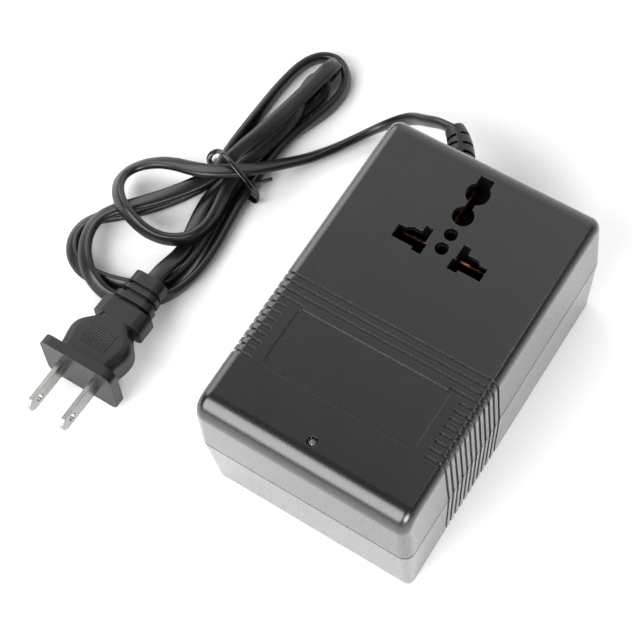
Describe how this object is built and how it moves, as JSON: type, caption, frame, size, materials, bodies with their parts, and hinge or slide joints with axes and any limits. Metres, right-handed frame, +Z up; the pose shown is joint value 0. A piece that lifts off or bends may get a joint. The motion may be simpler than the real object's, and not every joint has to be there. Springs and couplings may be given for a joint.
{
  "type": "travel voltage converter",
  "caption": "Box-shaped step-down mains converter: universal outlet on top, transformer inside, flat cord tied in a hank with a flat-blade plug.",
  "frame": {"origin": "middle of the casing's underside, on the surface that it stands on", "axes": "+Y along the casing to its cord end, +Z up through the outlet face, +X to the right seen from the lamp end"},
  "size_m": [0.1603, 0.1635, 0.0556],
  "materials": {
    "black_abs": "black ABS, finely spark-eroded",
    "carrier_plastic": "cream nylon",
    "copper_alloy": "bare phosphor bronze",
    "plated_steel": "zinc plated",
    "black_steel": "black oxide",
    "lens": "clear lens",
    "board": "paper laminate board",
    "resistor_paint": "lacquered",
    "silicon_steel": "varnished laminations",
    "former_nylon": "moulded nylon",
    "enamelled_copper": "enamelled winding wire",
    "tape": "polyester tape",
    "tinned_brass": "tinned",
    "cutout_body": "metal can",
    "line_wire": "black PVC insulation",
    "neutral_wire": "white PVC insulation",
    "lamp_wire": "red PVC insulation",
    "black_pvc": "soft black PVC",
    "tie_pvc": "PVC covered wire",
    "nickel_brass": "nickel plated",
    "bridge_nylon": "moulded nylon"
  },
  "bodies": {
    "root": {"bottom_shell": "black_abs", "top_shell": "black_abs", "casing_screws": "black_steel", "socket_carrier": "carrier_plastic", "left_contact": "copper_alloy", "right_contact": "copper_alloy", "earth_contact": "copper_alloy", "socket_screws": "plated_steel", "led": "lens", "led_board": "board", "led_resistor": "resistor_paint", "lamp_leads": "lamp_wire", "core_e_stack": "silicon_steel", "core_i_stack": "silicon_steel", "coil_former": "former_nylon", "inner_winding": "enamelled_copper", "outer_winding": "enamelled_copper", "winding_tape": "tape", "terminal_pins": "tinned_brass", "thermal_cutout": "cutout_body", "lead_line_in": "line_wire", "lead_neutral_in": "neutral_wire", "lead_line_out": "line_wire", "lead_neutral_out": "neutral_wire", "strain_relief": "black_pvc", "cord_lead": "black_pvc", "cord_hank": "black_pvc", "cord_tail": "black_pvc", "cord_tie": "tie_pvc", "plug_body": "black_pvc", "plug_blade_left": "nickel_brass", "plug_blade_right": "nickel_brass", "plug_blade_bridge": "bridge_nylon"}
  },
  "joints": []
}
